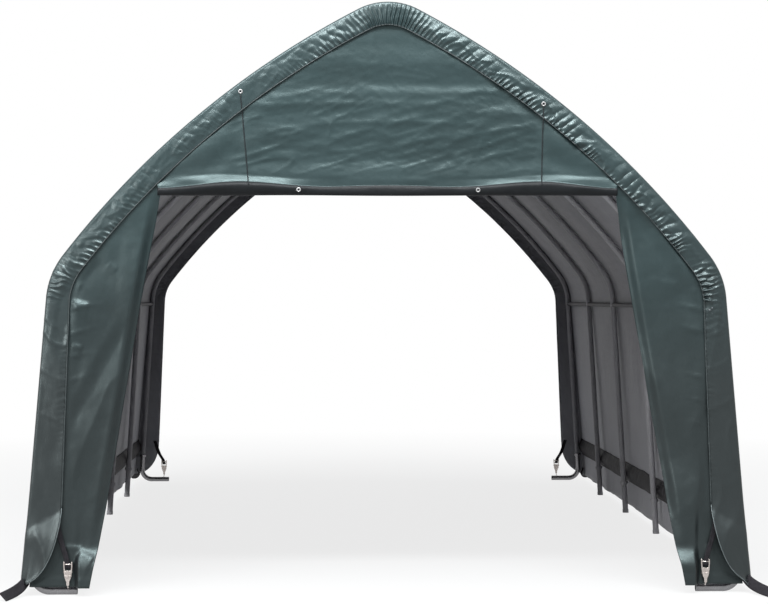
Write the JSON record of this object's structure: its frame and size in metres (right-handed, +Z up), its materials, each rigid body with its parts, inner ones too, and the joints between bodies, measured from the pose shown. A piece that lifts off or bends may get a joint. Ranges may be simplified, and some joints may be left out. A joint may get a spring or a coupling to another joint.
{
  "type": "peaked fabric tunnel shelter",
  "caption": "Open-ended peaked tunnel shelter: curved steel-tube ribs on splayed legs, purlins and base rails under a taut dark green cover, with a front gable panel and side strips.",
  "frame": {"origin": "on the ground, in the middle of the footprint", "axes": "+Z up, Y along the tunnel with the front at -Y, X across it with the picture's right at +X"},
  "size_m": [3.9494, 6.5048, 3.0077],
  "materials": {
    "steel_tube": "grey powder-coated steel tube",
    "bright_tube": "galvanised steel tube",
    "cover_fabric": "coated woven sheet, dark green outside and grey inside",
    "webbing": "black woven webbing",
    "buckle_metal": "zinc-plated steel",
    "cord": "black braided cord"
  },
  "bodies": {
    "root": {"front_rib_legs": "steel_tube", "rib_2_legs": "steel_tube", "rib_3_legs": "steel_tube", "rib_4_legs": "steel_tube", "rib_5_legs": "steel_tube", "back_rib_legs": "steel_tube", "front_rib_rafters": "steel_tube", "rib_2_rafters": "steel_tube", "rib_3_rafters": "steel_tube", "rib_4_rafters": "steel_tube", "rib_5_rafters": "steel_tube", "back_rib_rafters": "steel_tube", "left_shoulder_bends": "steel_tube", "right_shoulder_bends": "steel_tube", "peak_bends": "steel_tube", "left_eave_purlins": "steel_tube", "right_eave_purlins": "steel_tube", "ridge_purlins": "steel_tube", "left_base_rail": "steel_tube", "right_base_rail": "steel_tube", "header_pole": "steel_tube", "corner_feet": "bright_tube", "leg_stubs": "bright_tube", "left_wall_cover": "cover_fabric", "right_wall_cover": "cover_fabric", "left_shoulder_cover": "cover_fabric", "right_shoulder_cover": "cover_fabric", "left_slope_cover": "cover_fabric", "right_slope_cover": "cover_fabric", "ridge_cover": "cover_fabric", "front_leg_bands": "cover_fabric", "front_shoulder_bands": "cover_fabric", "front_slope_bands": "cover_fabric", "front_peak_band": "cover_fabric", "back_leg_bands": "cover_fabric", "back_shoulder_bands": "cover_fabric", "back_slope_bands": "cover_fabric", "back_peak_band": "cover_fabric", "front_gable_panel": "cover_fabric", "front_left_side_panel": "cover_fabric", "front_right_side_panel": "cover_fabric", "edge_straps": "webbing", "corner_tails": "webbing", "edge_buckles": "buckle_metal", "grommets": "buckle_metal", "lift_cords": "cord"}
  },
  "joints": []
}
